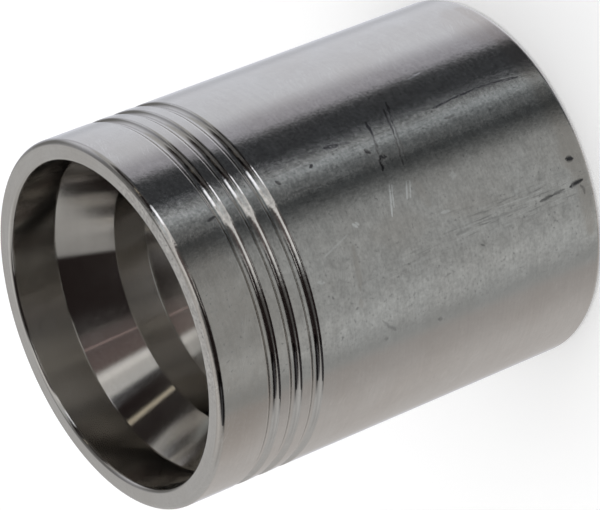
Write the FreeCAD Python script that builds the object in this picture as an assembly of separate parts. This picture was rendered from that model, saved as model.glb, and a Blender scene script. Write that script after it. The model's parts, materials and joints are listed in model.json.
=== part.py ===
"""Crimp ferrule for a high-pressure hydraulic hose: one turned steel sleeve.

The sleeve stands on its collar end, with its open hose end up. Its axis is
+Z, and the origin is the centre of the collar end's face. Depths are counted
down from the mouth. Sizes are in millimetres and angles in degrees.
"""

import FreeCAD, Part
import math
import os

# Body
body_diameter = 40.0
body_length = 49.0
mouth_edge_radius = 0.65
collar_edge_radius = 0.7

# Skirt at the mouth, which takes the hose with its cover on
skirt_wall = 2.3
skirt_depth = 5.55
skirt_edge_radius = 0.5
skirt_corner_radius = 0.5

# Gripping teeth, which bite into the hose where its cover is skived off
lead_in_step = 3.15
flank_angle = 30.0
crest_land = 4.0
tooth_height = 1.5
tooth_edge_radius = 0.25
valley_corner_radius = 0.3

# Collar at the far end, which locks into the groove of the hose insert
collar_thickness = 5.0
collar_step = 1.7
collar_edge_chamfer = 0.8
least_recess = 1.5

# Round-bottomed ring grooves outside, near the mouth
groove_count = 3
first_groove_depth = 5.75
groove_land = 0.95
groove_floor_radius = 0.7
groove_lip_radius = 0.35
groove_wall_angle = 52.0
groove_wall_length = 0.05

# Radii and heights that follow from the sizes above
body_radius = body_diameter / 2
skirt_radius = body_radius - skirt_wall
crest_radius = skirt_radius - lead_in_step
valley_radius = crest_radius + tooth_height
collar_radius = crest_radius - collar_step
flank_slope = math.tan(math.radians(flank_angle))
lead_in_length = lead_in_step / flank_slope
flank_length = tooth_height / flank_slope
tooth_pitch = flank_length + crest_land


def tooth_total():
    """Teeth that fit between the lead-in cone and the recess before the collar."""
    room = body_length - skirt_depth - lead_in_length - crest_land
    room -= collar_thickness + least_recess
    return 1 + int(room / tooth_pitch)


def trimmed_radius(before, corner, after, wanted):
    """Rounding of a corner, kept within half of the shorter side beside it."""
    first = corner.sub(before)
    second = after.sub(corner)
    shorter = min(first.Length, second.Length)
    reach = math.tan(first.getAngle(second) / 2)
    return min(wanted, shorter / 2 / reach)


def corner_arc(before, corner, after, wanted):
    """Arc that rounds one corner of the section, tangent to both its sides."""
    radius = trimmed_radius(before, corner, after, wanted)
    inward = before.sub(corner).normalize()
    outward = after.sub(corner).normalize()
    half_turn = (math.pi - inward.getAngle(outward)) / 2
    bisector = inward.add(outward).normalize()
    centre = corner.add(bisector.multiply(radius / math.cos(half_turn)))
    start = corner.add(inward.multiply(radius * math.tan(half_turn)))
    end = corner.add(outward.multiply(radius * math.tan(half_turn)))
    middle = centre.add(corner.sub(centre).normalize().multiply(radius))
    return Part.Arc(start, middle, end).toShape()


def section_edges(corners):
    """Straight and round edges through corners given as (radius, height, rounding)."""
    points = [FreeCAD.Vector(radius, 0, height) for radius, height, _ in corners]
    edges = []
    reached = points[0]
    for index in range(1, len(corners) - 1):
        rounding = corners[index][2]
        stop = points[index]
        if rounding:
            arc = corner_arc(points[index - 1], points[index], points[index + 1], rounding)
            stop = arc.firstVertex().Point
        edges.append(Part.LineSegment(reached, stop).toShape())
        reached = stop
        if rounding:
            edges.append(arc)
            reached = arc.lastVertex().Point
    edges.append(Part.LineSegment(reached, points[-1]).toShape())
    return edges


def groove_points():
    """Half of a groove as (depth into the wall, distance down from its upper lip)."""
    angle = math.radians(groove_wall_angle)
    points = [(0, 0)]
    for radius, turn in ((groove_lip_radius, angle / 2), (groove_lip_radius, angle)):
        points.append((radius * (1 - math.cos(turn)), radius * math.sin(turn)))
    depth, run = points[-1]
    depth += groove_wall_length * math.sin(angle)
    run += groove_wall_length * math.cos(angle)
    points.append((depth, run))
    depth += groove_floor_radius * (1 - math.cos(angle))
    run += groove_floor_radius * math.sin(angle)
    points.append((depth, run))
    return points


def groove_edges(top):
    """Edges of one ring groove whose upper lip starts at height top, downwards."""
    half = groove_points()
    width = 2 * half[-1][1]
    upper = [FreeCAD.Vector(body_radius - depth, 0, top - run) for depth, run in half]
    lower = [FreeCAD.Vector(body_radius - depth, 0, top - width + run) for depth, run in half]
    return [
        Part.Arc(upper[0], upper[1], upper[2]).toShape(),
        Part.LineSegment(upper[2], upper[3]).toShape(),
        Part.Arc(upper[3], upper[4], lower[3]).toShape(),
        Part.LineSegment(lower[3], lower[2]).toShape(),
        Part.Arc(lower[2], lower[1], lower[0]).toShape(),
    ]


def grooved_band():
    """Grooves with the lands between them, and the heights where the band ends."""
    width = 2 * groove_points()[-1][1]
    upper_end = body_length - first_groove_depth
    edges = []
    top = upper_end
    for number in range(groove_count):
        if number:
            land_start = FreeCAD.Vector(body_radius, 0, top)
            top -= groove_land
            land_end = FreeCAD.Vector(body_radius, 0, top)
            edges.append(Part.LineSegment(land_start, land_end).toShape())
        edges += groove_edges(top)
        top -= width
    return edges, upper_end, top


def tooth_corners():
    """Corners of the lead-in cone and the teeth, from the skirt down."""
    height = body_length - skirt_depth
    corners = [(skirt_radius, height, skirt_corner_radius)]
    height -= lead_in_length
    corners.append((crest_radius, height, tooth_edge_radius))
    for number in range(tooth_total()):
        if number:
            corners.append((valley_radius, height, valley_corner_radius))
            height -= flank_length
            corners.append((crest_radius, height, tooth_edge_radius))
        height -= crest_land
        corners.append((crest_radius, height, tooth_edge_radius))
    corners.append((valley_radius, height, valley_corner_radius))
    return corners


def collar_corners():
    """Corners of the recess floor and the chamfered collar, down to the base."""
    chamfer = collar_edge_chamfer
    return [
        (valley_radius, collar_thickness, valley_corner_radius),
        (collar_radius + chamfer, collar_thickness, 0),
        (collar_radius, collar_thickness - chamfer, 0),
        (collar_radius, chamfer, 0),
        (collar_radius + chamfer, 0, 0),
    ]


def ferrule_sleeve():
    """Whole sleeve, turned from the section on the +X side of its axis."""
    grooves, band_top, band_foot = grooved_band()
    corners = [(body_radius, band_top, 0)]
    corners.append((body_radius, body_length, mouth_edge_radius))
    corners.append((skirt_radius, body_length, skirt_edge_radius))
    corners += tooth_corners()
    corners += collar_corners()
    corners.append((body_radius, 0, collar_edge_radius))
    corners.append((body_radius, band_foot, 0))
    edges = Part.__sortEdges__(section_edges(corners) + grooves)
    section = Part.Face(Part.Wire(edges))
    return section.revolve(FreeCAD.Vector(0, 0, 0), FreeCAD.Vector(0, 0, 1), 360)


def main():
    """Write the sleeve as a STEP file."""
    os.makedirs("parts", exist_ok=True)
    ferrule_sleeve().exportStep("parts/ferrule_sleeve.step")


main()
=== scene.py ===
"""Studio picture of a crimp hose ferrule: one turned steel sleeve, standing on its collar end.

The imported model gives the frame: metres, +Z up along the sleeve's axis, the open mouth on top. The
camera is rolled, as in the photograph, so the sleeve seems to lie on its side.

Turn angles go round the axis, from 0 at the side that faces the camera towards +X, which is the
top of the picture. Depths are counted down from the mouth.
"""

import json
import math

import bpy
from mathutils import Matrix, Vector


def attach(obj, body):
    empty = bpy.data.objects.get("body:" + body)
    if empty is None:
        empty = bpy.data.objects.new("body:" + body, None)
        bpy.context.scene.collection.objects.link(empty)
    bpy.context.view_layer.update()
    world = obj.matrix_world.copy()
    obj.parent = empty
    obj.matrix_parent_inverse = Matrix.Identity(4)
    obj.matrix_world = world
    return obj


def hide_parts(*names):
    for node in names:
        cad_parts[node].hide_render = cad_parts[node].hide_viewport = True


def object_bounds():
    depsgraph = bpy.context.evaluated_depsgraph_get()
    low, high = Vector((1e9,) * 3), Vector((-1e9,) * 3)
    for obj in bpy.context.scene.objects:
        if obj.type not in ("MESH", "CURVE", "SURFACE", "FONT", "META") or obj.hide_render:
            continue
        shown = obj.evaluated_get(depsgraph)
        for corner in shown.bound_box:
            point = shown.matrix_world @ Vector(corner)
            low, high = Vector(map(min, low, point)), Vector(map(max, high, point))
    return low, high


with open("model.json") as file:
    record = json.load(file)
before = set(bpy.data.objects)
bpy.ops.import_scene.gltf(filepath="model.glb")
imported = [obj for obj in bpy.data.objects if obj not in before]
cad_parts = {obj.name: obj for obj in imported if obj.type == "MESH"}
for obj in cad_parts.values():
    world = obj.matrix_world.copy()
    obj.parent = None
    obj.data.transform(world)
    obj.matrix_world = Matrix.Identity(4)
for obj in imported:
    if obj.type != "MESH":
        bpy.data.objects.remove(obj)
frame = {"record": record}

CAD_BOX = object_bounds()
MM = 0.001


def mount_radius(name):
    """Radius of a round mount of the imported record, in millimetres."""
    for mount in frame["record"]["mounts"]:
        if mount["name"] == name:
            return mount["dims"]["r_mm"]
    raise ValueError(f"the record has no mount named {name}")


# Sleeve, in millimetres and degrees
BODY_RADIUS = mount_radius("crimp_surface")
BODY_LENGTH = CAD_BOX[1].z / MM
MOUTH_EDGE_RADIUS = 0.65
COLLAR_EDGE_RADIUS = 0.7
SKIRT_RADIUS = mount_radius("skirt_bore")
SKIRT_DEPTH = 5.55
SKIRT_EDGE_RADIUS = 0.5
SKIRT_CORNER_RADIUS = 0.5
CREST_RADIUS = mount_radius("tooth_bore")
FLANK_ANGLE = 30.0
CREST_LAND = 4.0
TOOTH_HEIGHT = 1.5
TOOTH_COUNT = 5
TOOTH_EDGE_RADIUS = 0.25
VALLEY_CORNER_RADIUS = 0.3
COLLAR_RADIUS = mount_radius("collar_bore")
COLLAR_THICKNESS = 5.0
COLLAR_EDGE_CHAMFER = 0.8
BROKEN_EDGE_RADIUS = 0.08
GROOVE_COUNT = 3
FIRST_GROOVE_DEPTH = 5.75
GROOVE_LAND = 0.95
GROOVE_FLOOR_RADIUS = 0.7
GROOVE_LIP_RADIUS = 0.35
GROOVE_WALL_ANGLE = 52.0
GROOVE_WALL_LENGTH = 0.05

# Mesh fineness
SEGMENTS = 384
ARC_STEP = 9.0
HIDDEN_ARC_STEP = 30.0

# Camera, in metres and degrees
FOCAL_LENGTH_PX = 4201.0
PICTURE_WIDTH_PX = 600
SENSOR_WIDTH_MM = 36.0
CAMERA_AIM = (-0.00054, 0.0, 0.02467)
CAMERA_TURN = -0.081
CAMERA_ELEVATION = 30.087
CAMERA_DISTANCE = 0.4395
CAMERA_ROLL = 111.804


class Nodes:
    """Short ways to add shader nodes to one node tree."""

    def __init__(self, tree):
        self.tree = tree

    def add(self, kind, inputs=None, **settings):
        """New node with its settings, and with values or links put into its inputs."""
        node = self.tree.nodes.new(kind)
        for name, value in settings.items():
            setattr(node, name, value)
        for key, value in (inputs or {}).items():
            self.feed(node.inputs[key], value)
        return node

    def feed(self, socket, value):
        """Put a link or a constant into an input socket."""
        if isinstance(value, bpy.types.NodeSocket):
            self.tree.links.new(value, socket)
        else:
            socket.default_value = value

    def math(self, operation, *values):
        """Output of a Math node."""
        node = self.add("ShaderNodeMath", operation=operation)
        for socket, value in zip(node.inputs, values):
            self.feed(socket, value)
        return node.outputs[0]

    def ramp(self, value, low, high, out_low=0.0, out_high=1.0):
        """Smooth step of a value from low to high; low may be above high."""
        node = self.add("ShaderNodeMapRange", interpolation_type="SMOOTHSTEP")
        for name, given in (("Value", value), ("From Min", low), ("From Max", high),
                            ("To Min", out_low), ("To Max", out_high)):
            self.feed(node.inputs[name], given)
        return node.outputs["Result"]

    def mix(self, factor, first, second):
        """Colour mixed from first to second."""
        node = self.add("ShaderNodeMix", data_type="RGBA")
        self.feed(node.inputs["Factor"], factor)
        self.feed(node.inputs[6], first)
        self.feed(node.inputs[7], second)
        return node.outputs[2]

    def vector(self, operation, *values):
        """Output of a Vector Math node: its number where it has one, otherwise its vector."""
        node = self.add("ShaderNodeVectorMath", operation=operation)
        for socket, value in zip(node.inputs, values):
            self.feed(socket, value)
        return node.outputs["Value" if operation in ("LENGTH", "DOT_PRODUCT") else "Vector"]

    def scaled(self, vector, factor):
        """Vector times a number."""
        node = self.add("ShaderNodeVectorMath", operation="SCALE")
        self.feed(node.inputs[0], vector)
        self.feed(node.inputs["Scale"], factor)
        return node.outputs[0]

    def combined(self, x, y, z=0.0):
        """Vector of three numbers."""
        return self.add("ShaderNodeCombineXYZ", {"X": x, "Y": y, "Z": z}).outputs[0]

    def noise(self, place, scale, detail):
        """Noise around a half, with features of about 1 / scale."""
        node = self.add("ShaderNodeTexNoise", {"Vector": place, "Scale": scale, "Detail": detail})
        return node.outputs[0]

    def swing(self, noise, amount, base):
        """Base plus the noise's distance from a half, times an amount."""
        return self.math("MULTIPLY_ADD", self.math("SUBTRACT", noise, 0.5), amount, base)


def grey(level, tint=(1.0, 1.0, 1.0)):
    """RGBA of a grey level with a tint."""
    return tuple(level * part for part in tint) + (1.0,)


def rounded_corner(before, corner, after, radius, step):
    """Points and normals of the arc that rounds one corner of the section."""
    before, corner, after = Vector(before), Vector(corner), Vector(after)
    came = (corner - before).normalized()
    goes = (after - corner).normalized()
    turn = came.angle_signed(goes)
    reach = radius * math.tan(abs(turn) / 2)
    side = math.copysign(1.0, turn)
    inward = side * Vector((came.y, -came.x))
    centre = corner - came * reach + inward * radius
    count = max(2, math.ceil(math.degrees(abs(turn)) / step))
    points = []
    for index in range(count + 1):
        angle = side * abs(turn) * index / count
        spoke = -inward.copy()
        spoke.rotate(Matrix.Rotation(-angle, 2))
        points.append((centre + spoke * radius, -side * spoke))
    return points


def section_points(corners):
    """Closed section as (point, outward normal) pairs; corners are (radius, height, rounding, step)."""
    points = []
    for index, (radius, height, rounding, step) in enumerate(corners):
        before = corners[index - 1][:2]
        after = corners[(index + 1) % len(corners)][:2]
        points += rounded_corner(before, (radius, height), after, rounding, step)
    return points


def groove_reach():
    """Lip reach, run and depth of a groove's wall, up to the corner that the floor rounds."""
    angle = math.radians(GROOVE_WALL_ANGLE)
    lip_reach = GROOVE_LIP_RADIUS * math.tan(angle / 2)
    wall = lip_reach + GROOVE_WALL_LENGTH + GROOVE_FLOOR_RADIUS * math.tan(angle)
    return lip_reach, wall * math.cos(angle), wall * math.sin(angle)


def groove_pitch():
    """Distance from one ring groove to the next."""
    lip_reach, run, _ = groove_reach()
    return 2 * (run + lip_reach) + GROOVE_LAND


def groove_corners():
    """Lips and floors of the ring grooves, from the mouth down."""
    lip_reach, run, depth = groove_reach()
    corners = []
    top = BODY_LENGTH - FIRST_GROOVE_DEPTH - lip_reach
    for _ in range(GROOVE_COUNT):
        corners.append((BODY_RADIUS, top, GROOVE_LIP_RADIUS, ARC_STEP))
        corners.append((BODY_RADIUS - depth, top - run, GROOVE_FLOOR_RADIUS, ARC_STEP))
        corners.append((BODY_RADIUS, top - 2 * run, GROOVE_LIP_RADIUS, ARC_STEP))
        top -= groove_pitch()
    return corners


def tooth_corners():
    """Lead-in cone and gripping teeth, from the skirt down."""
    slope = math.tan(math.radians(FLANK_ANGLE))
    valley_radius = CREST_RADIUS + TOOTH_HEIGHT
    height = BODY_LENGTH - SKIRT_DEPTH
    corners = [(SKIRT_RADIUS, height, SKIRT_CORNER_RADIUS, ARC_STEP)]
    height -= (SKIRT_RADIUS - CREST_RADIUS) / slope
    corners.append((CREST_RADIUS, height, TOOTH_EDGE_RADIUS, ARC_STEP))
    for number in range(TOOTH_COUNT):
        step = HIDDEN_ARC_STEP if number > 1 else ARC_STEP
        if number:
            corners.append((valley_radius, height, VALLEY_CORNER_RADIUS, step))
            height -= TOOTH_HEIGHT / slope
            corners.append((CREST_RADIUS, height, TOOTH_EDGE_RADIUS, step))
        height -= CREST_LAND
        corners.append((CREST_RADIUS, height, TOOTH_EDGE_RADIUS, step))
    corners.append((valley_radius, height, VALLEY_CORNER_RADIUS, HIDDEN_ARC_STEP))
    corners.append((valley_radius, COLLAR_THICKNESS, VALLEY_CORNER_RADIUS, HIDDEN_ARC_STEP))
    return corners


def collar_corners():
    """Chamfered collar and the face that the sleeve stands on."""
    wide = COLLAR_RADIUS + COLLAR_EDGE_CHAMFER
    near = COLLAR_THICKNESS - COLLAR_EDGE_CHAMFER
    return [
        (wide, COLLAR_THICKNESS, BROKEN_EDGE_RADIUS, HIDDEN_ARC_STEP),
        (COLLAR_RADIUS, near, BROKEN_EDGE_RADIUS, HIDDEN_ARC_STEP),
        (COLLAR_RADIUS, COLLAR_EDGE_CHAMFER, BROKEN_EDGE_RADIUS, HIDDEN_ARC_STEP),
        (wide, 0.0, BROKEN_EDGE_RADIUS, HIDDEN_ARC_STEP),
        (BODY_RADIUS, 0.0, COLLAR_EDGE_RADIUS, ARC_STEP),
    ]


def turned_mesh(name, section):
    """Closed mesh of a section turned about +Z, with the section's own normals."""
    count = len(section)
    points, normals, faces = [], [], []
    for segment in range(SEGMENTS):
        angle = 2 * math.pi * segment / SEGMENTS
        cosine, sine = math.cos(angle), math.sin(angle)
        for point, normal in section:
            points.append((point.x * cosine * MM, point.x * sine * MM, point.y * MM))
            normals.append((normal.x * cosine, normal.x * sine, normal.y))
        here = segment * count
        there = (segment + 1) % SEGMENTS * count
        for index in range(count):
            following = (index + 1) % count
            faces.append((here + index, there + index, there + following, here + following))
    mesh = bpy.data.meshes.new(name)
    mesh.from_pydata(points, [], faces)
    mesh.shade_smooth()
    mesh.normals_split_custom_set_from_vertices(normals)
    return mesh


def sleeve_piece():
    """The whole sleeve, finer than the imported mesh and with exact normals."""
    corners = [(BODY_RADIUS, BODY_LENGTH, MOUTH_EDGE_RADIUS, ARC_STEP)]
    corners.append((SKIRT_RADIUS, BODY_LENGTH, SKIRT_EDGE_RADIUS, ARC_STEP))
    corners += tooth_corners()
    corners += collar_corners()
    corners += reversed(groove_corners())
    section = section_points(corners)
    sleeve = bpy.data.objects.new("sleeve", turned_mesh("sleeve", section))
    bpy.context.scene.collection.objects.link(sleeve)
    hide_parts("ferrule_sleeve")
    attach(sleeve, "root")
    return sleeve


# Steel: colours
STEEL_COLOUR = (0.625, 0.61, 0.585, 1.0)
BORE_COLOUR = (0.61, 0.59, 0.555, 1.0)
STAIN_COLOUR = (0.50, 0.455, 0.41, 1.0)
# Near black of scores, specks and dark streaks, and of the painted dark reflections
SCORE_AND_DARK_REFLECTION_COLOUR = (0.05, 0.05, 0.055, 1.0)
# Near white that paints a glint on the bright scratches, hairlines and light streaks
SCRATCH_GLINT_COLOUR = (0.98, 0.98, 0.96, 1.0)

# Steel: roughness, what grain and scores add to it, and the stretch of its highlights
OUTSIDE_ROUGHNESS = 0.11
BORE_ROUGHNESS = 0.125
GRAIN_ROUGHNESS = 0.03
SCORE_ROUGHNESS = 0.12
ANISOTROPY = 1.0
QUARTER_TURN = 0.25

# Heights of the finish, in metres
GRAIN_HEIGHT = 0.000008
LATHE_HEIGHT = 0.000002

# Radii over which the bore's finish and the outside's set in, in millimetres
BORE_FADE = (SKIRT_RADIUS + 0.3, SKIRT_RADIUS + 0.2)
OUTSIDE_FADE = (BODY_RADIUS - 0.8, BODY_RADIUS - 0.6)

# Side that hands have dulled: turn angle of its middle, reach and blur in degrees
HANDLED_TURN = 3.5
HANDLED_REACH = 37.0
HANDLED_BLUR = 6.0

# Share of the finish away from that side, and share of the grain's height in the bore
UNHANDLED = 0.13
BORE_GRAIN = 0.2

# Painted shade on the skirt and teeth inside the bore, and the millimetres over which it sets in
SKIRT_PAINTED_SHADE = 0.95
SKIRT_PAINTED_SHADE_BLUR = 0.1
DEEP_PAINTED_SHADE = 0.90
DEEP_PAINTED_SHADE_BLUR = 0.3

# Noise of the finish: features a millimetre, detail
CLOUDS = (0.16, 2.0)
SMUDGES = (0.85, 5.0)
GRAIN = (2.8, 3.0)
WAVER = (1.3, 2.0)
HAIRLINE_PATCHES = (0.45, 2.0)

# Noise drawn out round the axis: features a millimetre across the axis and along the section
RINGS = (0.05, 4.5)
HATCH = (0.7, 3.6)

# Noise drawn out along the sleeve: features a millimetre of depth and of arc
STREAKS = (0.36, 3.4)

# Detail of the drawn out noise
STRETCHED_DETAIL = 2.0
STREAK_DETAIL = 3.0

# Noise between which each pattern sets in
CLOUD_RANGE = (0.3, 0.7)
RING_RANGE = (0.25, 0.75)
WORN_RANGE = (0.30, 0.50)
SPECK_RANGE = (0.37, 0.31)
SPECK_PATCH_RANGE = (0.45, 0.60)
HAIRLINE_PATCH_RANGE = (0.5, 0.65)
DULL_GRAIN_RANGE = (0.3, 0.8)

# Least strength of marks where the grain has worn them
WORN_LEAST = 0.55

# How much each pattern changes the colour
CLOUD_STAIN = 0.22
GRAIN_SHADE = 0.60
SMUDGE_SHADE = 0.58
HATCH_SHADE = 0.30
RING_SHADE = 0.015
SPECK_SHADE = 0.35
HAIRLINE_SHADE = 0.30

# Fine slanted scratches: radians a millimetre, features a radian and a millimetre, width in noise
HAIRLINE_SLANT = 0.12
HAIRLINES_ROUND = 90.0
HAIRLINES_ALONG = 0.5
HAIRLINE_WIDTH = 0.022

# Marks: factor on all half widths, loss of width at the ends and its power, and the fade's bounds
MARK_WIDENING = 1.5
MARK_TAPER = 0.55
MARK_TAPER_POWER = 3.0
MARK_RIM = 1.6
MARK_CORE = 0.3

# Millimetres by which marks waver in depth and in arc
DEPTH_WAVER = 0.5
ARC_WAVER = 0.3

# Marks of handling outside: depth in millimetres and turn angle of both ends, half width, strength
SCORES = (
    ("first_score_top", 27.05, 28.3, 26.75, 22.8, 0.12, 1.00),
    ("first_score_foot", 26.75, 22.8, 26.15, 17.3, 0.10, 0.65),
    ("gouge", 26.10, 16.6, 25.65, 12.3, 0.15, 0.95),
    ("gouge_hook", 26.20, 16.5, 26.70, 15.7, 0.20, 0.95),
    ("double_score_right", 30.60, 32.2, 29.65, 24.6, 0.09, 0.90),
    ("double_score_left", 29.80, 30.0, 29.05, 21.5, 0.09, 0.90),
    ("double_score_foot", 29.05, 21.5, 28.05, 11.5, 0.08, 0.65),
    ("double_score_tail", 29.65, 24.6, 28.70, 12.5, 0.08, 0.45),
    ("spot_on_double", 30.60, 36.4, 30.75, 35.0, 0.12, 0.50),
    ("long_arc_start", 34.80, 24.5, 37.40, 25.25, 0.11, 0.95),
    ("long_arc_rise", 37.40, 25.25, 40.30, 25.65, 0.11, 0.95),
    ("long_arc_fall", 40.30, 25.65, 43.30, 25.2, 0.12, 0.90),
    ("long_arc_end", 43.30, 25.2, 45.80, 24.1, 0.11, 0.95),
    ("arc_shadow", 40.20, 27.1, 44.50, 27.9, 0.12, 0.40),
    ("pit_a", 14.10, 20.9, 14.35, 19.6, 0.13, 0.90),
    ("pit_b", 18.35, 21.1, 18.75, 21.6, 0.16, 0.95),
    ("pit_c", 25.00, 19.9, 25.30, 18.6, 0.17, 0.90),
    ("smear", 21.00, 25.2, 22.70, 24.6, 0.22, 0.90),
    ("smear_tail", 22.50, 24.8, 23.90, 24.0, 0.11, 0.60),
    ("short_line", 13.90, 25.4, 15.80, 24.1, 0.11, 0.45),
    ("outline_mark", 35.30, 20.1, 36.50, 20.0, 0.10, 0.50),
    ("back_blob", 46.45, -4.5, 47.30, -5.0, 0.19, 0.95),
    ("back_streak", 45.90, -12.7, 47.60, -11.9, 0.16, 0.92),
    ("back_streak_mid", 42.00, -13.3, 43.60, -13.0, 0.12, 0.62),
    ("back_streak_link", 43.60, -12.9, 45.20, -12.7, 0.11, 0.50),
    ("back_specks", 47.30, -13.2, 47.60, -16.2, 0.11, 0.40),
    ("mid_smear", 31.00, -13.2, 32.90, -12.8, 0.12, 0.22),
    ("long_hairline", 34.50, -12.5, 40.20, -13.3, 0.08, 0.20),
    ("front_nick", 4.95, 17.1, 5.95, 17.8, 0.12, 0.92),
    ("dot_low", 27.30, -36.4, 27.75, -36.8, 0.16, 0.40),
    ("dot_left", 20.40, -35.5, 20.85, -35.7, 0.15, 0.28),
    ("dot_mid", 17.40, -22.2, 17.50, -22.8, 0.12, 0.40),
    ("dot_right", 33.60, -18.8, 34.00, -19.3, 0.09, 0.50),
    ("faint_score", 20.20, -29.3, 21.80, -34.0, 0.11, 0.28),
    ("faint_rub", 32.30, 13.4, 33.20, 18.3, 0.12, 0.22),
)
# Bright scratches outside, whose lightness is a painted glint; columns as for the scores
SCRATCHES_WITH_PAINTED_GLINT = (
    ("bright_long", 24.35, -1.2, 25.50, 7.6, 0.08, 0.95),
    ("bright_long_side", 24.95, 1.0, 25.45, 5.2, 0.06, 0.85),
    ("bright_long_top", 25.45, 5.2, 25.80, 7.4, 0.06, 0.75),
    ("bright_pair_left", 26.75, 1.8, 27.50, 6.7, 0.07, 0.85),
    ("bright_pair_right", 27.20, 1.9, 27.95, 6.6, 0.06, 0.80),
    ("bright_tick", 19.70, 1.0, 20.10, -0.3, 0.11, 0.85),
    ("bright_tick_side", 20.10, 1.1, 20.35, 0.1, 0.09, 0.68),
    ("bright_blotch", 32.75, 3.7, 33.05, 3.3, 0.34, 0.36),
    ("bright_on_edge", 34.70, 37.0, 36.40, 37.8, 0.09, 0.85),
    ("bright_slant", 15.40, -4.7, 18.70, -1.3, 0.08, 0.26),
    ("bright_smudge", 13.70, -10.9, 14.40, -11.6, 0.13, 0.39),
    ("bright_cloud", 39.00, -8.6, 39.60, -7.5, 0.24, 0.21),
    ("bright_dash", 30.00, -5.5, 31.00, -5.8, 0.12, 0.42),
)
STAINS = (
    ("brown_stain", 18.80, -5.0, 18.30, -17.5, 0.20, 0.42),
    ("brown_stain_foot", 18.05, -20.5, 18.00, -22.5, 0.22, 0.40),
    ("brown_rub", 28.40, 6.0, 28.90, -2.0, 0.40, 0.30),
    ("brown_patch", 22.00, -4.5, 27.50, -6.0, 1.20, 0.24),
    ("brown_patch_far", 31.00, -5.0, 36.50, -9.0, 0.90, 0.22),
    ("front_tarnish", 1.50, -44.0, 1.50, 4.0, 6.00, 0.55),
    ("edge_rub", 47.60, -28.0, 47.60, 60.0, 0.80, 0.62),
    ("edge_rub_middle", 46.90, -8.0, 46.90, 1.0, 0.70, 0.60),
    ("edge_rub_top", 45.80, 42.0, 46.20, 60.0, 1.30, 0.35),
)
SCUFFS = (
    ("scuff_belt", 31.00, -12.6, 47.80, -12.2, 1.10, 0.90),
    ("scuff_belt_far", 20.00, -15.5, 34.00, -14.5, 0.80, 0.42),
    ("scuff_middle", 26.50, -5.5, 37.00, -7.0, 0.60, 0.26),
    ("scuff_shoulder", 14.00, 22.0, 34.00, 24.0, 1.30, 0.55),
    ("scuff_low_shoulder", 15.00, 14.0, 22.50, 13.5, 0.90, 0.80),
)

# Streaks in the scuffs: noise where they begin and where they are full, strength, colour
SCUFF_STREAKS = (
    (0.54, 0.70, 0.48, SCORE_AND_DARK_REFLECTION_COLOUR),
    # Light streaks: a painted glint
    (0.46, 0.30, 0.30, SCRATCH_GLINT_COLOUR),
)

# Painted dark reflections on the mouth's edge, and in every ring groove, where depths count from its
# upper lip
MOUTH_PAINTED_REFLECTION = (
    ("residue_edge", 0.36, -24.5, 0.36, -42.0, 0.12, 0.90),
)
GROOVE_PAINTED_REFLECTIONS = (
    ("residue_floor", 1.17, -25.5, 1.17, -41.0, 0.085, 0.95),
    ("residue_lip", 1.53, -27.0, 1.53, -41.0, 0.055, 0.92),
    ("residue_floor_top", 1.17, 30.0, 1.17, 38.0, 0.085, 0.90),
    ("residue_lip_top", 1.56, 31.0, 1.56, 38.0, 0.055, 0.90),
)


def painted_reflection_marks():
    """Marks of painted dark reflection: on the mouth's edge, and repeated in every ring groove."""
    marks = list(MOUTH_PAINTED_REFLECTION)
    for number in range(GROOVE_COUNT):
        top = FIRST_GROOVE_DEPTH + number * groove_pitch()
        for name, depth, turn, end_depth, end_turn, half_width, strength in GROOVE_PAINTED_REFLECTIONS:
            marks.append((name, top + depth, turn, top + end_depth, end_turn, half_width, strength))
    return marks


def mark_group():
    """Node group: how much of a straight mark from one end to the other covers a place."""
    group = bpy.data.node_groups.new("mark", "ShaderNodeTree")
    for name, kind in (("Place", "NodeSocketVector"), ("Start", "NodeSocketVector"),
                       ("Span", "NodeSocketVector"), ("Along", "NodeSocketVector"),
                       ("Half Width", "NodeSocketFloat"), ("Strength", "NodeSocketFloat")):
        group.interface.new_socket(name=name, in_out="INPUT", socket_type=kind)
    group.interface.new_socket(name="Cover", in_out="OUTPUT", socket_type="NodeSocketFloat")
    nodes = Nodes(group)
    given = group.nodes.new("NodeGroupInput").outputs
    reach = nodes.vector("SUBTRACT", given["Place"], given["Start"])
    along = nodes.vector("DOT_PRODUCT", reach, given["Along"])
    share = nodes.add("ShaderNodeClamp", {"Value": along}).outputs[0]
    nearest = nodes.scaled(given["Span"], share)
    away = nodes.vector("LENGTH", nodes.vector("SUBTRACT", reach, nearest))
    from_middle = nodes.math("ABSOLUTE", nodes.math("MULTIPLY_ADD", share, 2.0, -1.0))
    ends = nodes.math("POWER", from_middle, MARK_TAPER_POWER)
    taper = nodes.math("MULTIPLY_ADD", ends, -MARK_TAPER, 1.0)
    width = nodes.math("MULTIPLY", given["Half Width"], taper)
    rim = nodes.math("MULTIPLY", width, MARK_RIM)
    core = nodes.math("MULTIPLY", width, MARK_CORE)
    cover = nodes.math("MULTIPLY", nodes.ramp(away, rim, core), given["Strength"])
    result = group.nodes.new("NodeGroupOutput")
    nodes.feed(result.inputs["Cover"], cover)
    return group


def mark_cover(nodes, group, marks, place):
    """Strongest cover of any mark of a list at a place."""
    covers = []
    for _, depth, turn, end_depth, end_turn, half_width, strength in marks:
        start = Vector((depth, math.radians(turn) * BODY_RADIUS, 0.0))
        span = Vector((end_depth, math.radians(end_turn) * BODY_RADIUS, 0.0)) - start
        node = nodes.add("ShaderNodeGroup", node_tree=group)
        for name, value in (("Place", place), ("Start", start), ("Span", span),
                            ("Along", span / span.length_squared),
                            ("Half Width", half_width * MARK_WIDENING), ("Strength", strength)):
            nodes.feed(node.inputs[name], value)
        covers.append(node.outputs["Cover"])
    total = covers[0]
    for cover in covers[1:]:
        total = nodes.math("MAXIMUM", total, cover)
    return total


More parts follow.
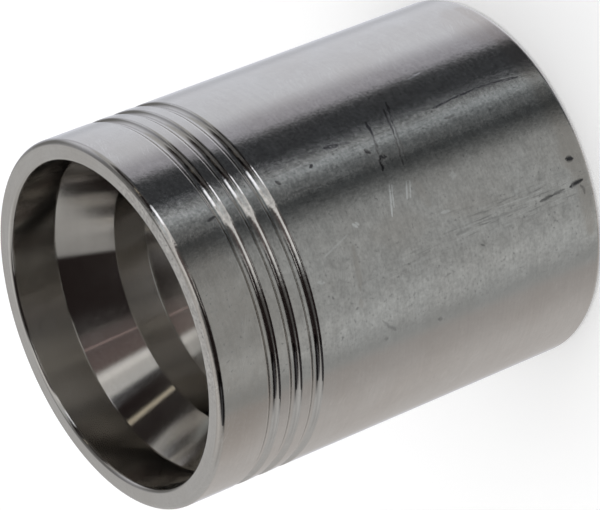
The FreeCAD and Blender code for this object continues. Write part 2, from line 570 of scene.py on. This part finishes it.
class SleevePlace:
    """Where a shaded point lies on the sleeve, in millimetres and radians, and in which zones."""

    def __init__(self, nodes):
        metres = nodes.add("ShaderNodeTexCoord").outputs["Object"]
        self.point = nodes.scaled(metres, 1 / MM)
        axes = nodes.add("ShaderNodeSeparateXYZ", {"Vector": self.point}).outputs
        self.x, self.y, self.height = axes["X"], axes["Y"], axes["Z"]
        squares = nodes.math("ADD", nodes.math("POWER", self.x, 2.0), nodes.math("POWER", self.y, 2.0))
        self.radius = nodes.math("SQRT", squares)
        self.turn = nodes.math("ARCTAN2", self.x, nodes.math("MULTIPLY", self.y, -1.0))
        self.arc = nodes.math("MULTIPLY", self.turn, BODY_RADIUS)
        self.depth = nodes.math("SUBTRACT", BODY_LENGTH, self.height)
        self.bore = nodes.ramp(self.radius, *BORE_FADE)
        self.outside = nodes.ramp(self.radius, *OUTSIDE_FADE)
        away = nodes.math("SUBTRACT", nodes.math("DEGREES", self.turn), HANDLED_TURN)
        self.handled = nodes.ramp(nodes.math("ABSOLUTE", away), HANDLED_REACH + HANDLED_BLUR,
                                  HANDLED_REACH - HANDLED_BLUR, UNHANDLED, 1.0)


def noise_round_axis(nodes, place, across, along):
    """Noise drawn out round the axis, the same on walls and on end faces."""
    section = nodes.math("SUBTRACT", place.height, place.radius)
    stretched = nodes.combined(nodes.math("MULTIPLY", place.x, across),
                               nodes.math("MULTIPLY", place.y, across),
                               nodes.math("MULTIPLY", section, along))
    return nodes.noise(stretched, 1.0, STRETCHED_DETAIL)


def noise_along_sleeve(nodes, place, by_depth, by_arc):
    """Noise drawn out along the sleeve."""
    stretched = nodes.combined(nodes.math("MULTIPLY", place.depth, by_depth),
                               nodes.math("MULTIPLY", place.arc, by_arc))
    return nodes.noise(stretched, 1.0, STREAK_DETAIL)


def hairlines(nodes, place):
    """Fine slanted scratches in patches of the outside."""
    slant = nodes.math("MULTIPLY_ADD", place.height, HAIRLINE_SLANT, place.turn)
    stretched = nodes.combined(nodes.math("MULTIPLY", nodes.math("SINE", slant), HAIRLINES_ROUND),
                               nodes.math("MULTIPLY", nodes.math("COSINE", slant), HAIRLINES_ROUND),
                               nodes.math("MULTIPLY", place.height, HAIRLINES_ALONG))
    noise = nodes.noise(stretched, 1.0, STRETCHED_DETAIL)
    lines = nodes.ramp(nodes.math("ABSOLUTE", nodes.math("SUBTRACT", noise, 0.5)), HAIRLINE_WIDTH, 0.0)
    patches = nodes.ramp(nodes.noise(place.point, *HAIRLINE_PATCHES), *HAIRLINE_PATCH_RANGE)
    return nodes.math("MULTIPLY", nodes.math("MULTIPLY", lines, patches), place.outside)


class Finish:
    """Patterns of noise that the steel's finish is made of."""

    def __init__(self, nodes, place):
        self.clouds = nodes.noise(place.point, *CLOUDS)
        self.smudges = nodes.noise(place.point, *SMUDGES)
        self.grain = nodes.noise(place.point, *GRAIN)
        self.waver = nodes.noise(place.point, *WAVER)
        self.rings = noise_round_axis(nodes, place, *RINGS)
        self.hatch = noise_round_axis(nodes, place, *HATCH)
        self.streaks = noise_along_sleeve(nodes, place, *STREAKS)
        self.hairlines = hairlines(nodes, place)
        self.worn = nodes.ramp(self.grain, *WORN_RANGE, WORN_LEAST, 1.0)
        self.specks = nodes.math("MULTIPLY", nodes.ramp(self.grain, *SPECK_RANGE),
                                 nodes.ramp(self.smudges, *SPECK_PATCH_RANGE))


class Wear:
    """How much each kind of mark covers a place of the outside."""

    def __init__(self, nodes, place, finish):
        self.nodes = nodes
        self.group = mark_group()
        self.outside = place.outside
        steady = nodes.combined(place.depth, place.arc)
        wavering = nodes.combined(nodes.swing(finish.waver, DEPTH_WAVER, place.depth),
                                  nodes.swing(finish.grain, ARC_WAVER, place.arc))
        self.scores = self.cover(SCORES, wavering)
        self.stains = self.cover(STAINS, wavering)
        self.scuffs = self.cover(SCUFFS, wavering)
        # Bright scratches, lightened by a painted glint
        self.scratches = self.cover(SCRATCHES_WITH_PAINTED_GLINT, steady)
        # Painted dark reflections on the mouth's edge and in the ring grooves
        self.painted_reflections = self.cover(painted_reflection_marks(), steady)

    def cover(self, marks, place):
        """Cover of a list of marks, kept to the outside."""
        cover = mark_cover(self.nodes, self.group, marks, place)
        return self.nodes.math("MULTIPLY", cover, self.outside)


def clean_colour(nodes, place, finish):
    """Colour of the steel before it was marked: a darker bore with painted shade on its skirt and
    teeth, soft stains, grain and lathe rings.
    """
    colour = nodes.mix(place.bore, STEEL_COLOUR, BORE_COLOUR)
    # Painted shade: the skirt and the crests of the teeth are darkened
    skirt = nodes.ramp(place.depth, SKIRT_DEPTH - SKIRT_PAINTED_SHADE_BLUR, SKIRT_DEPTH + SKIRT_PAINTED_SHADE_BLUR,
                       SKIRT_PAINTED_SHADE, 1.0)
    deep = nodes.ramp(place.radius, CREST_RADIUS + DEEP_PAINTED_SHADE_BLUR, CREST_RADIUS, 1.0, DEEP_PAINTED_SHADE)
    shade = nodes.math("SUBTRACT", nodes.math("MULTIPLY", skirt, deep), 1.0)
    colour = nodes.scaled(colour, nodes.math("MULTIPLY_ADD", shade, place.bore, 1.0))
    clouds = nodes.ramp(finish.clouds, *CLOUD_RANGE, 0.0, CLOUD_STAIN)
    colour = nodes.mix(clouds, colour, STAIN_COLOUR)
    mottle = nodes.swing(finish.grain, GRAIN_SHADE, 0.0)
    mottle = nodes.swing(finish.smudges, SMUDGE_SHADE, mottle)
    mottle = nodes.swing(finish.hatch, HATCH_SHADE, mottle)
    colour = nodes.scaled(colour, nodes.math("MULTIPLY_ADD", mottle, place.handled, 1.0))
    rings = nodes.ramp(finish.rings, *RING_RANGE, 1.0 - RING_SHADE, 1.0 + RING_SHADE)
    return nodes.scaled(colour, rings)


def marked_colour(nodes, colour, place, finish, wear):
    """The clean colour with specks, stains, scratches lightened by a painted glint, scuffs, scores, and
    painted dark reflections over it.
    """
    specks = nodes.math("MULTIPLY", place.handled, SPECK_SHADE)
    colour = nodes.mix(nodes.math("MULTIPLY", finish.specks, specks), colour, SCORE_AND_DARK_REFLECTION_COLOUR)
    colour = nodes.mix(nodes.math("MULTIPLY", wear.stains, finish.worn), colour, STAIN_COLOUR)
    # Hairlines lightened by a painted glint
    colour = nodes.mix(nodes.math("MULTIPLY", finish.hairlines, HAIRLINE_SHADE), colour, SCRATCH_GLINT_COLOUR)
    for begin, full, strength, target in SCUFF_STREAKS:
        streak = nodes.math("MULTIPLY", nodes.ramp(finish.streaks, begin, full), wear.scuffs)
        colour = nodes.mix(nodes.math("MULTIPLY", streak, strength), colour, target)
    # Bright scratches lightened by a painted glint
    colour = nodes.mix(nodes.math("MULTIPLY", wear.scratches, finish.worn), colour, SCRATCH_GLINT_COLOUR)
    colour = nodes.mix(nodes.math("MULTIPLY", wear.scores, finish.worn), colour, SCORE_AND_DARK_REFLECTION_COLOUR)
    # Painted dark reflections on the mouth's edge and in the ring grooves
    return nodes.mix(wear.painted_reflections, colour, SCORE_AND_DARK_REFLECTION_COLOUR)


def steel_roughness(nodes, place, finish, wear):
    """Roughness of the steel: a duller bore, the grain and the scores."""
    roughness = nodes.ramp(place.bore, 0.0, 1.0, OUTSIDE_ROUGHNESS, BORE_ROUGHNESS)
    grain = nodes.ramp(finish.grain, *DULL_GRAIN_RANGE, 0.0, GRAIN_ROUGHNESS)
    roughness = nodes.math("ADD", roughness, grain)
    return nodes.math("MULTIPLY_ADD", wear.scores, SCORE_ROUGHNESS, roughness)


def steel_bump(nodes, place, finish):
    """Normal that follows the grain and the lathe rings."""
    grip = nodes.math("MAXIMUM", nodes.math("MULTIPLY", place.outside, place.handled),
                      nodes.math("MULTIPLY", place.bore, BORE_GRAIN))
    height = nodes.math("MULTIPLY", nodes.math("MULTIPLY", finish.grain, grip), GRAIN_HEIGHT)
    height = nodes.math("MULTIPLY_ADD", finish.rings, LATHE_HEIGHT, height)
    bump = nodes.add("ShaderNodeBump", {"Height": height, "Distance": 1.0, "Strength": 1.0})
    return bump.outputs[0]


def turned_steel():
    """Bright turned steel whose highlights run out along the sleeve, with a worn satin finish, painted
    shade in the bore, and painted glints and dark reflections in its colour.
    """
    material = bpy.data.materials.new("turned_steel")
    material.use_nodes = True
    nodes = Nodes(material.node_tree)
    shader = material.node_tree.nodes["Principled BSDF"]
    shader.inputs["Metallic"].default_value = 1.0
    shader.inputs["Anisotropic"].default_value = ANISOTROPY
    shader.inputs["Anisotropic Rotation"].default_value = QUARTER_TURN
    place = SleevePlace(nodes)
    finish = Finish(nodes, place)
    wear = Wear(nodes, place, finish)
    tangent = nodes.add("ShaderNodeTangent", direction_type="RADIAL", axis="Z").outputs[0]
    colour = clean_colour(nodes, place, finish)
    nodes.feed(shader.inputs["Base Color"], marked_colour(nodes, colour, place, finish, wear))
    nodes.feed(shader.inputs["Roughness"], steel_roughness(nodes, place, finish, wear))
    nodes.feed(shader.inputs["Normal"], steel_bump(nodes, place, finish))
    nodes.feed(shader.inputs["Tangent"], tangent)
    return material


# Tints of the studio's light
WARM = (1.035, 0.995, 0.975)
YELLOWISH = (1.1, 1.0, 0.8)
COOL = (0.955, 0.98, 1.065)
PINKISH = (1.20, 0.89, 0.875)
GREENISH = (0.975, 1.012, 1.02)
TEAL = (0.905, 1.01, 1.085)
LILAC = (0.98, 0.978, 1.09)
SLATE = (0.925, 0.995, 1.10)
NEUTRAL = (1.0, 1.0, 1.0)

# Cards round the steel: turn, half width, side blur, elevation, half height, top blur, level, tint
ROOM_LEVEL = 0.014
STUDIO_CARDS = (
    ("ceiling", 0, 180, 1, 90, 26, 7, 0.64, NEUTRAL),
    ("ceiling_front", 5, 30, 25, 72, 16, 10, 0.68, GREENISH),
    ("ceiling_left", -57, 38, 10, 66, 11, 6, 0.10, NEUTRAL),
    ("sweep_right", 132, 32, 8, -20, 50, 38, 0.80, COOL),
    ("sweep_behind", 217, 60, 9, 15, 62, 18, 0.53, NEUTRAL),
    ("sweep_glow", 205, 45, 15, 55, 12, 10, 0.68, NEUTRAL),
    ("corner_right", 140, 35, 15, 58, 14, 8, 0.20, NEUTRAL),
    ("flag_back", 146, 16, 10, 12, 18, 10, 0.20, NEUTRAL),
    ("sweep_left", -87.5, 30, 1.5, 22, 8, 3, 0.45, NEUTRAL),
    ("table", 0, 180, 1, -70, 58, 3, 0.40, GREENISH),
    ("table_middle", -54, 10, 7, -70, 58, 3, 0.48, GREENISH),
    ("table_warm", -145, 66, 4, -70, 58, 3, 0.40, WARM),
    ("table_left", -145, 46, 22, -70, 58, 3, 0.55, WARM),
    ("table_seam", -73, 2, 5, -70, 58, 3, 0.36, GREENISH),
    ("table_right", 122.5, 45.5, 2, -60, 50, 12, 0.45, LILAC),
    ("table_right_far", 130.5, 35.5, 9, -60, 42, 8, 0.81, COOL),
    ("table_right_dip", 154, 8, 6, -60, 42, 8, 0.64, COOL),
    ("table_right_end", 179, 15, 7, -33, 14, 4, 0.88, COOL),
    ("flag_low", 88, 9, 4, -56, 10, 4, 0.12, NEUTRAL),
    ("table_below", 126, 24, 8, -48, 12, 6, 1.0, COOL),
    ("sweep_right_foot", 98, 10, 4, -6, 16, 12, 0.50, NEUTRAL),
    ("wall_low", 70, 13, 6, -5, 16, 6, 0.13, NEUTRAL),
    ("wall_high", 92, 20, 8, 42, 10, 8, 0.15, NEUTRAL),
    ("flag_near", 30, 14, 12, -60, 48, 6, 0.06, TEAL),
    ("window_haze", 36.5, 4.5, 5, -60, 48, 6, 0.12, TEAL),
    ("window_foot", 43.5, 1.5, 6, -60, 48, 6, 0.44, TEAL),
    ("flag_shoulder", 56, 7, 6, -60, 48, 6, 0.08, TEAL),
    ("flag_right", 66, 12.5, 5, -60, 60, 8, 0.052, SLATE),
    ("window_soft", 17, 17, 6, 15, 40, 8, 0.09, NEUTRAL),
    ("window_glow", 17, 17, 6, 34, 7, 4, 0.09, PINKISH),
    ("window_glow_edge", 24, 9.5, 5, 34, 7, 4, 0.125, PINKISH),
    ("window", 37.8, 9.5, 2, 22, 44, 8, 0.60, NEUTRAL),
    ("window_core", 33, 2.5, 2, 25, 25, 8, 0.85, NEUTRAL),
    ("window_sill", 42, 6, 2, -12, 6, 4, 1.0, NEUTRAL),
    ("window_bridge", 50, 7, 3, 46, 10, 4, 0.60, TEAL),
    ("window_bridge_top", 62, 16, 3, 64, 8, 4, 0.55, NEUTRAL),
    ("window_low", 47, 6, 1.5, -2, 17, 4, 1.60, COOL),
    ("lamp_low", 10, 3, 3, -2, 20, 5, 0.28, NEUTRAL),
    ("window_top", 22, 28, 12, 68, 11, 8, 0.92, NEUTRAL),
    ("strip_low", -2, 10, 5, 14.5, 2.5, 1.5, 1.20, NEUTRAL),
    ("strip", 69.5, 1.8, 1.0, 25, 4, 2, 0.80, YELLOWISH),
    ("strip_right", 98.5, 5.5, 2.5, 22, 16, 5, 0.42, NEUTRAL),
    ("lamp_line", 9.8, 0.6, 0.6, 30, 6, 3, 0.42, PINKISH),
)


def card_cover(nodes, turn, elevation, card):
    """How much of a card lies in a direction, from none to all."""
    _, card_turn, half_width, side_blur, card_elevation, half_height, top_blur, _, _ = card
    away = nodes.math("SUBTRACT", turn, float(card_turn))
    away = nodes.math("ABSOLUTE", nodes.math("WRAP", away, 180.0, -180.0))
    across = nodes.ramp(away, half_width + side_blur, half_width - side_blur)
    away = nodes.math("ABSOLUTE", nodes.math("SUBTRACT", elevation, float(card_elevation)))
    along = nodes.ramp(away, half_height + top_blur, half_height - top_blur)
    return nodes.math("MULTIPLY", across, along)


def studio_world():
    """World whose light depends on the direction alone: soft cards in a dark room."""
    world = bpy.data.worlds.new("studio")
    bpy.context.scene.world = world
    world.use_nodes = True
    nodes = Nodes(world.node_tree)
    direction = nodes.add("ShaderNodeTexCoord").outputs["Generated"]
    axes = nodes.add("ShaderNodeSeparateXYZ", {"Vector": direction}).outputs
    toward_camera = nodes.math("MULTIPLY", axes["Y"], -1.0)
    turn = nodes.math("DEGREES", nodes.math("ARCTAN2", axes["X"], toward_camera))
    elevation = nodes.math("DEGREES", nodes.math("ARCSINE", axes["Z"]))
    colour = grey(ROOM_LEVEL, PINKISH)
    for card in STUDIO_CARDS:
        level, tint = card[-2:]
        colour = nodes.mix(card_cover(nodes, turn, elevation, card), colour, grey(level, tint))
    background = world.node_tree.nodes["Background"]
    nodes.feed(background.inputs["Color"], colour)


def plain_material(name, colour, glow_colour, glow):
    """Plain studio surface with a glow that only the camera sees."""
    material = bpy.data.materials.new(name)
    material.use_nodes = True
    shader = material.node_tree.nodes["Principled BSDF"]
    shader.inputs["Base Color"].default_value = colour
    shader.inputs["Roughness"].default_value = 1.0
    shader.inputs["Specular IOR Level"].default_value = 0.0
    shader.inputs["Emission Color"].default_value = glow_colour
    nodes = Nodes(material.node_tree)
    seen = nodes.add("ShaderNodeLightPath").outputs["Is Camera Ray"]
    nodes.feed(shader.inputs["Emission Strength"], nodes.math("MULTIPLY", seen, glow))
    return material


# Floor, backdrop and lamp: metres, levels, and the lamp's width in degrees
FLOOR_RADIUS = 2.5
FLOOR_POINTS = 256
BACKDROP_SEGMENTS = 64
BACKDROP_RINGS = 32
FLOOR_LEVEL = 0.9
FLOOR_GLOW = 0.30
FLOOR_LIGHT = 1.5
FLOOR_LIGHT_WIDTH = 120.0


def floor_and_backdrop():
    """White floor under the sleeve, and a white dome that only the camera sees."""
    ring = []
    for index in range(FLOOR_POINTS):
        angle = 2 * math.pi * index / FLOOR_POINTS
        ring.append((FLOOR_RADIUS * math.cos(angle), FLOOR_RADIUS * math.sin(angle), 0.0))
    mesh = bpy.data.meshes.new("floor")
    mesh.from_pydata(ring, [], [tuple(range(FLOOR_POINTS))])
    floor = bpy.data.objects.new("floor", mesh)
    mesh.materials.append(plain_material("floor_white", grey(FLOOR_LEVEL), grey(1.0), FLOOR_GLOW))
    bpy.context.scene.collection.objects.link(floor)
    floor.visible_glossy = False
    bpy.ops.mesh.primitive_uv_sphere_add(
        segments=BACKDROP_SEGMENTS, ring_count=BACKDROP_RINGS, radius=FLOOR_RADIUS)
    dome = bpy.context.object
    dome.name = "backdrop"
    dome.data.materials.append(plain_material("backdrop_white", grey(0.0), grey(1.0), 1.0))
    for flag in ("visible_diffuse", "visible_glossy", "visible_transmission", "visible_shadow"):
        setattr(dome, flag, False)


def floor_light():
    """Broad lamp from above for the floor; the steel mirrors the studio instead."""
    lamp = bpy.data.lights.new("floor_lamp", "SUN")
    lamp.energy = FLOOR_LIGHT
    lamp.angle = math.radians(FLOOR_LIGHT_WIDTH)
    light = bpy.data.objects.new("floor_lamp", lamp)
    light.visible_glossy = False
    bpy.context.scene.collection.objects.link(light)


def camera():
    """Camera at the photograph's viewing angle, rolled so that the sleeve lies on its side."""
    turn = math.radians(CAMERA_TURN)
    elevation = math.radians(CAMERA_ELEVATION)
    roll = math.radians(CAMERA_ROLL)
    back = Vector((math.sin(turn) * math.cos(elevation),
                   -math.cos(turn) * math.cos(elevation),
                   math.sin(elevation)))
    level = Vector((0, 0, 1)).cross(back).normalized()
    upright = back.cross(level)
    right = math.cos(roll) * level - math.sin(roll) * upright
    up = math.sin(roll) * level + math.cos(roll) * upright
    data = bpy.data.cameras.new("camera")
    data.sensor_width = SENSOR_WIDTH_MM
    data.lens = SENSOR_WIDTH_MM * FOCAL_LENGTH_PX / PICTURE_WIDTH_PX
    eye = bpy.data.objects.new("camera", data)
    bpy.context.scene.collection.objects.link(eye)
    eye.matrix_world = Matrix.Translation(Vector(CAMERA_AIM) + back * CAMERA_DISTANCE) @ \
        Matrix((right, up, back)).transposed().to_4x4()
    bpy.context.scene.camera = eye


sleeve = sleeve_piece()
sleeve.data.materials.append(turned_steel())
studio_world()
floor_and_backdrop()
floor_light()
camera()
bpy.context.scene.view_settings.view_transform = "Standard"
